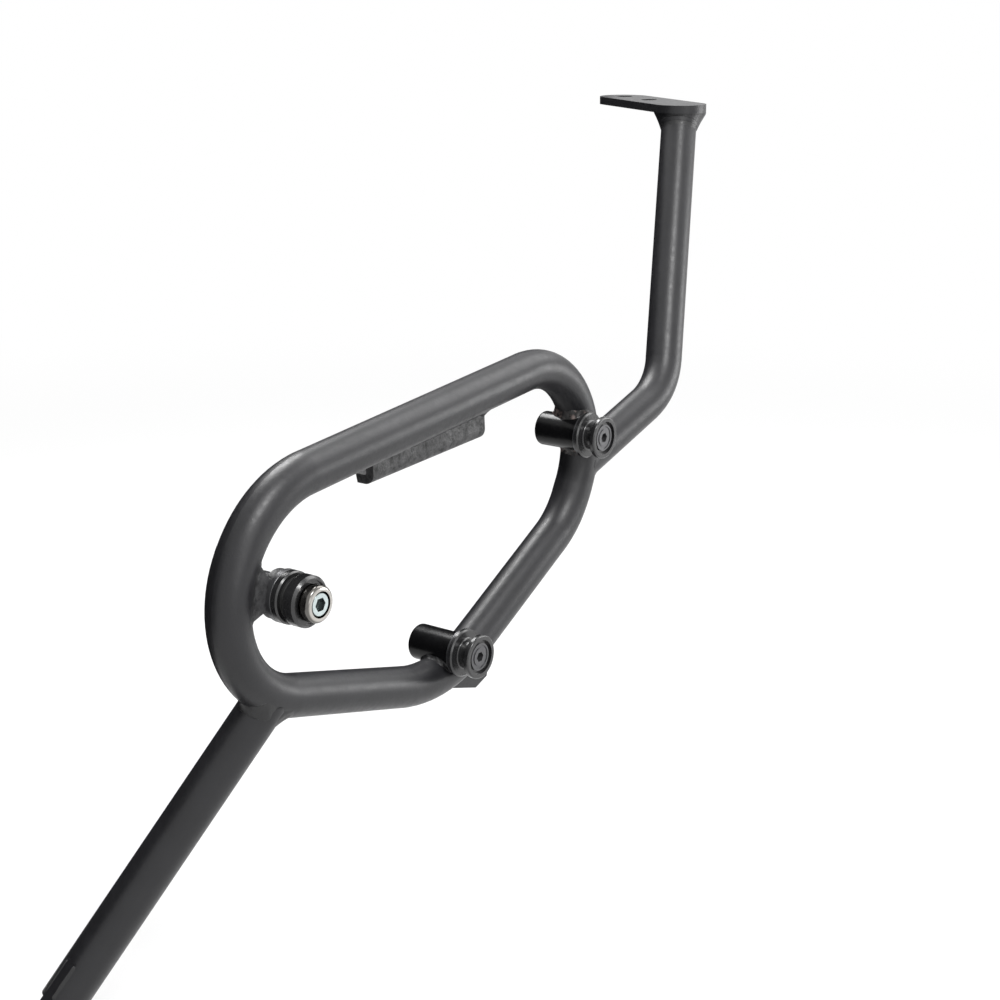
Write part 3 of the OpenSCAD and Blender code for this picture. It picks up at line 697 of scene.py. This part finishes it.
def tab_start(share_wide, share_thick):
    """Place on the tab's outline, clear of the tube at its own height."""
    h = tab_middle + share_thick * tab_half
    x = FRONT_INSET - math.sqrt(TUBE_R ** 2 - h ** 2)
    wide = share_wide * flank(x, TAB_LOWER if share_wide > 0 else TAB_UPPER)
    return plane_point(*FRONT_PIN, h) + across * wide + tab_way * (x - TAB_CLEAR)


starts = [tab_start(*shares) for shares in round_trip(TAB_CORNERS, TAB_STEPS)]
seam = [meet(q, tab_way, bend_gap(LOWER_FRONT)) for q in starts]
seam = smooth([q for q in seam if q], TAB_SOFTEN)
fillet("weld_tab", seam, True, bend_gap(LOWER_FRONT), tab_gap, even(1.6 * MM, 1.5 * MM), 5,
       belly=0.5)

# Bracket under the upper bar. At its rear its weld ends in an ear on the outer side.
BRACKET_STEPS = (60, 8, 60, 8)
BRACKET_ROUND = 0.3 * MM
BRACKET_LEG = 1.0 * MM
BRACKET_GROWTH = (3.6 * MM, 1.2 * MM)
BRACKET_RUN = 40 * MM
EAR_REACH = 9 * MM
EAR_LEGS = (3.8 * MM, 3.2 * MM)
bar_gap = rod_gap(BAR_FROM, (BAR_TO - BAR_FROM).normalized(), TUBE_R)
centre = Vector((sum(BRACKET_X) / 2, sum(BRACKET_Y) / 2, 0))
half_wide, half_thick = [(ends[1] - ends[0]) / 2 for ends in (BRACKET_X, BRACKET_Y)]
corners = [(-half_wide, -half_thick), (half_wide, -half_thick),
           (half_wide, half_thick), (-half_wide, half_thick)]
seam = [
    meet(centre + Vector((x, y, 0)), UPWARD, bar_gap)
    for x, y in round_trip(corners, BRACKET_STEPS)
]
seam = [p for p in seam if p]
ear = max(seam, key=lambda p: p.x - p.y)
at_ear = swelling(ear, EAR_REACH, (BRACKET_LEG, BRACKET_LEG), EAR_LEGS)


def bracket_legs(p):
    """The weld grows to the rear on the outer side, where it is run up the bar."""
    share = ease(clamp((p.x - BRACKET_X[0]) / BRACKET_RUN)) if p.y < centre.y else 0
    return [max(BRACKET_LEG + grow * share, leg) for grow, leg in zip(BRACKET_GROWTH, at_ear(p))]


fillet("weld_bracket", seam, True, bar_gap,
       plate_gap(centre, REARWARD, INBOARD, half_wide, half_thick, BRACKET_ROUND),
       bracket_legs, 6, belly=0.8, rough=0.10 * MM, coat=PITTED)

# Eye plate in the strut's slot: a weld along each side of the slot, on both faces of the plate.
EYE_STEPS = 20
EDGE_ROUND = 0.1 * MM
wide = EYE_NORMAL.cross(strut_way).normalized()
slot_out = math.sqrt(TUBE_R ** 2 - EYE_HALF_THICK ** 2)
for side in (1, -1):
    for face in (1, -1):
        points = []
        for k in range(EYE_STEPS + 1):
            back = SLOT_FROM + (SLOT_TO - SLOT_FROM) * k / EYE_STEPS
            points.append(STRUT_EYE - strut_way * back + EYE_NORMAL * (face * EYE_HALF_THICK)
                          + wide * (side * slot_out))
        name = "weld_eye_" + ("a" if side > 0 else "b") + ("1" if face > 0 else "2")
        fillet(name, points, False, rod_gap(STRUT_EYE, strut_way, TUBE_R),
               plate_gap(STRUT_EYE, wide, EYE_NORMAL, EYE_HALF_WIDE, EYE_HALF_THICK, EDGE_ROUND),
               even(1.2 * MM, 1.2 * MM), 7 + side + face)

# Lower lug on the inboard side of its bend: a weld along its outer face.
LUG_STEPS = 30
cx, cz, radius = LOWER_REAR
ring = radius + math.sqrt(TUBE_R ** 2 - LUG_FACE ** 2)
points = []
for k in range(LUG_STEPS + 1):
    a = math.radians(LUG_FROM + LUG_SWEEP * k / LUG_STEPS)
    points.append(plane_point(cx + ring * math.cos(a), cz + ring * math.sin(a), -LUG_FACE))
fillet("weld_lug", points, False, bend_gap(LOWER_REAR),
       plate_gap(plane_point(cx, cz, -LUG_FACE - LUG_HALF), UPWARD, INBOARD, NO_END, LUG_HALF,
                 EDGE_ROUND),
       even(1.4 * MM, 1.4 * MM), 11)

# Nut behind the front tab.
nut_seam = ring_points(plane_point(*FRONT_PIN, TAB_BACK), INBOARD, NUT_R)
fillet("weld_nut", nut_seam, True, lambda p: p.y - (LOOP_Y - TAB_BACK),
       rod_gap(plane_point(*FRONT_PIN, 0), INBOARD, NUT_R), even(1.1 * MM, 1.1 * MM), 10)

# ------------------------------------------------------------------ floor
FLOOR_R = 60
FLOOR_DROP = 1 * MM
# The floor glows more with the distance from the part, and so fades into the white background.
FADE_FROM, FADE_TO = 0.2, 1.5
GLOW_NEAR, GLOW_FAR = 0.50, 1.0
TONE_HIDDEN, TONE_SEEN = 0.40, 0.92
mesh = bpy.data.meshes.new("floor")
bm = bmesh.new()
bmesh.ops.create_circle(bm, cap_ends=True, radius=FLOOR_R, segments=96)
bm.to_mesh(mesh)
bm.free()
floor = bpy.data.objects.new("floor", mesh)
floor.location = (0, 0, cad_low.z - FLOOR_DROP)
bpy.context.scene.collection.objects.link(floor)

pale = bpy.data.materials.new("floor_white")
pale.use_nodes = True
n = Tree(pale.node_tree)
matte = n.tree.nodes["Principled BSDF"]
matte.inputs["Roughness"].default_value = 0.9
matte.inputs["Specular IOR Level"].default_value = 0.1
glow = n.add("ShaderNodeEmission")
glow.inputs["Color"].default_value = (1, 1, 1, 1)
glow.inputs["Strength"].default_value = 1.0
away = n.vector("LENGTH", n.add("ShaderNodeTexCoord").outputs["Object"])
fade = n.spread(away, FADE_FROM, FADE_TO, GLOW_NEAR, GLOW_FAR, "SMOOTHERSTEP")
seen = n.seen()
n.link(n.spread(seen, 0, 1, TONE_HIDDEN, TONE_SEEN), matte.inputs["Base Color"])
mix = n.add("ShaderNodeMixShader")
n.link(n.math("MULTIPLY", fade, seen), mix.inputs["Fac"])
n.link(matte.outputs["BSDF"], mix.inputs[1])
n.link(glow.outputs["Emission"], mix.inputs[2])
n.link(mix.outputs["Shader"], n.tree.nodes["Material Output"].inputs["Surface"])
mesh.materials.append(pale)

# A dark card on the inboard side, seen by reflections only.
(x0, z0), (x1, z1) = (-0.80, -0.21), (0.42, 0.19)
CARD_Y = 0.16
mesh = bpy.data.meshes.new("card")
spots = [(x0, CARD_Y, z0), (x1, CARD_Y, z0), (x1, CARD_Y, z1), (x0, CARD_Y, z1)]
mesh.from_pydata(spots, [], [(0, 1, 2, 3)])
card = bpy.data.objects.new("card", mesh)
card.visible_camera = False
card.visible_diffuse = False
card.visible_shadow = False
bpy.context.scene.collection.objects.link(card)
felt = bpy.data.materials.new("card_black")
felt.use_nodes = True
matte = felt.node_tree.nodes["Principled BSDF"]
matte.inputs["Base Color"].default_value = (0.01, 0.01, 0.012, 1)
matte.inputs["Specular IOR Level"].default_value = 0.0
mesh.materials.append(felt)

# ------------------------------------------------------------------ light
SKY_LIGHT, SKY_SEEN = 0.18, 1.0
world = bpy.data.worlds.new("studio")
bpy.context.scene.world = world
world.use_nodes = True
n = Tree(world.node_tree)
sky = n.tree.nodes["Background"]
sky.inputs["Color"].default_value = (1, 1, 1, 1)
n.link(n.spread(n.seen(), 0, 1, SKY_LIGHT, SKY_SEEN), sky.inputs["Strength"])

LAMPS_AIM = Vector((0.03, -0.02, -0.03))
for name, place, size, watts in (
    ("key", (0.34, 0.60, 0.98), (0.50, 0.50), 13),
    ("side", (0.90, -0.30, 0.85), (0.80, 0.80), 7),
    ("fill", (0.92, -0.70, 0.06), (0.50, 0.40), 4),
    ("front", (-0.42, -1.10, 0.30), (0.60, 0.60), 2),
    ("top", (-0.27, -0.70, 0.92), (0.32, 0.32), 9),
):
    data = bpy.data.lights.new(name, "AREA")
    data.shape = "RECTANGLE"
    data.size, data.size_y = size
    data.energy = watts
    obj = bpy.data.objects.new(name, data)
    obj.location = place
    obj.rotation_euler = (LAMPS_AIM - Vector(place)).to_track_quat("-Z", "Y").to_euler()
    bpy.context.scene.collection.objects.link(obj)

# ------------------------------------------------------------------ camera
PICTURE = 1000                  # pixels
FOCAL = 1870                    # pixels
SENSOR = 36                     # millimetres
CAMERA_AIM = Vector((0.052, -0.024, -0.0295))
CAMERA_BACK = Vector((-.7727, -.5718, .2756)).normalized()
CAMERA_AWAY = 0.839
cam = bpy.data.cameras.new("camera")
cam.sensor_width = SENSOR
cam.lens = FOCAL / PICTURE * SENSOR
cam.clip_start, cam.clip_end = 0.05, 200
camera = bpy.data.objects.new("camera", cam)
camera.location = CAMERA_AIM + CAMERA_BACK * CAMERA_AWAY
camera.rotation_mode = "QUATERNION"
camera.rotation_quaternion = (-CAMERA_BACK).to_track_quat("-Z", "Y")
bpy.context.scene.collection.objects.link(camera)
bpy.context.scene.camera = camera
bpy.context.scene.view_settings.view_transform = "Standard"
